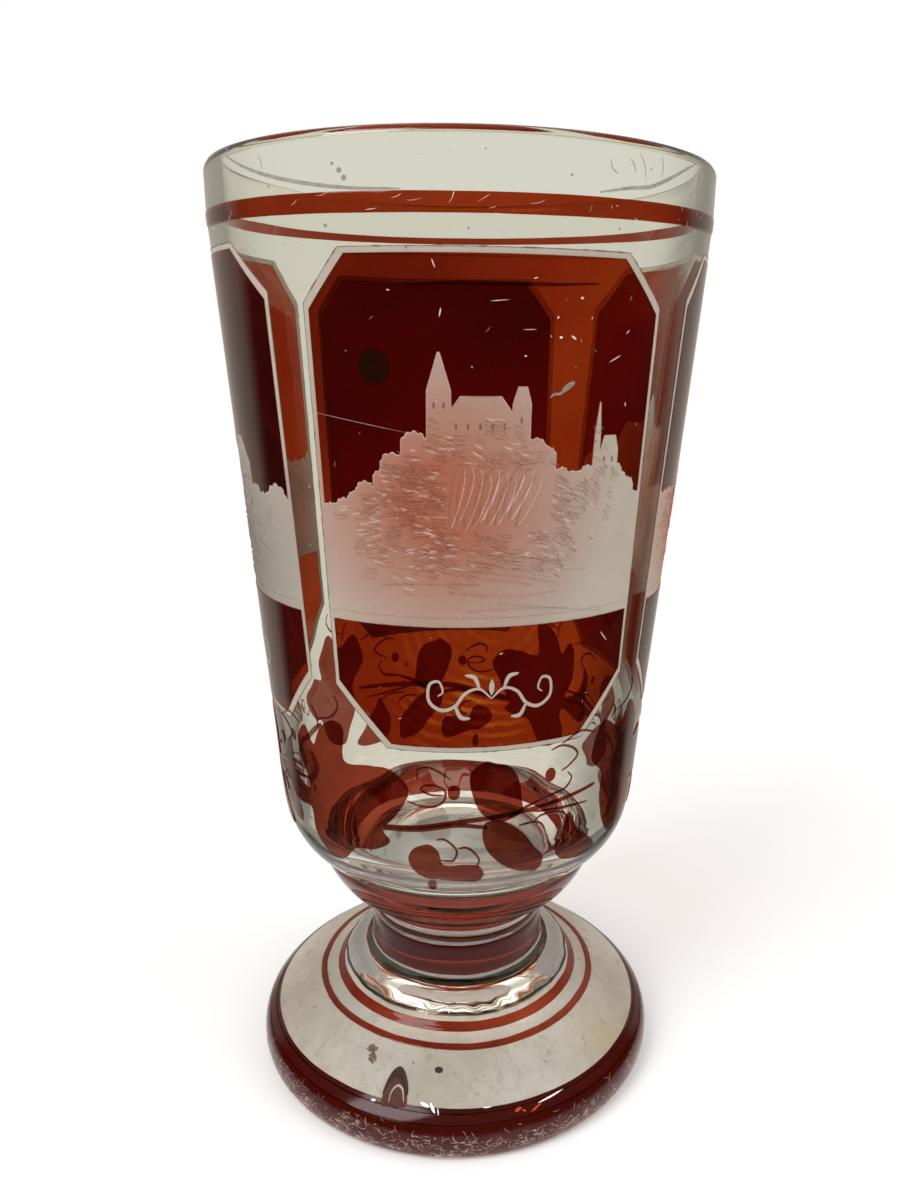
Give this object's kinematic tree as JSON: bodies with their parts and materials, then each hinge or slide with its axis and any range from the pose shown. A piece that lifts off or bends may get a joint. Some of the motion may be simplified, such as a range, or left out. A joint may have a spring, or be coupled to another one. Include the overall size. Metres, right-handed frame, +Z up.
{
  "type": "spa beaker",
  "caption": "Footed conical glass beaker: thick-floored bowl, collar, short stem and domed foot, under a cut-through ruby layer of picture panels, bands, rings and a leaf garland.",
  "frame": {"origin": "middle of the foot's rest face, on the table", "axes": "+Z up along the axis of the glass; -Y towards the front picture panel, +X to its right"},
  "size_m": [0.076, 0.076, 0.14],
  "materials": {
    "clear_glass": "polished clear glass with a faint warm grey tint",
    "matt_glass": "clear glass with a matt ground upper side",
    "ruby_glass": "glossy copper-ruby layer, scratched by use"
  },
  "bodies": {
    "root": {"foot": "matt_glass", "stem": "clear_glass", "collar": "clear_glass", "bowl": "clear_glass", "foot_edge_band": "ruby_glass", "foot_outer_ring": "ruby_glass", "foot_inner_ring": "ruby_glass", "stem_band": "ruby_glass", "collar_band": "ruby_glass", "rim_band": "ruby_glass", "panel_1_sky_plate": "ruby_glass", "panel_1_caption_plate": "ruby_glass", "panel_2_sky_plate": "ruby_glass", "panel_2_caption_plate": "ruby_glass", "panel_3_sky_plate": "ruby_glass", "panel_3_caption_plate": "ruby_glass", "panel_4_sky_plate": "ruby_glass", "panel_4_caption_plate": "ruby_glass", "lobed_leaf_1": "ruby_glass", "vine_spray_1": "ruby_glass", "berry_cluster_1": "ruby_glass", "lobed_leaf_2": "ruby_glass", "vine_spray_2": "ruby_glass", "berry_cluster_2": "ruby_glass", "lobed_leaf_3": "ruby_glass", "vine_spray_3": "ruby_glass", "berry_cluster_3": "ruby_glass", "lobed_leaf_4": "ruby_glass", "vine_spray_4": "ruby_glass", "berry_cluster_4": "ruby_glass"}
  },
  "joints": []
}
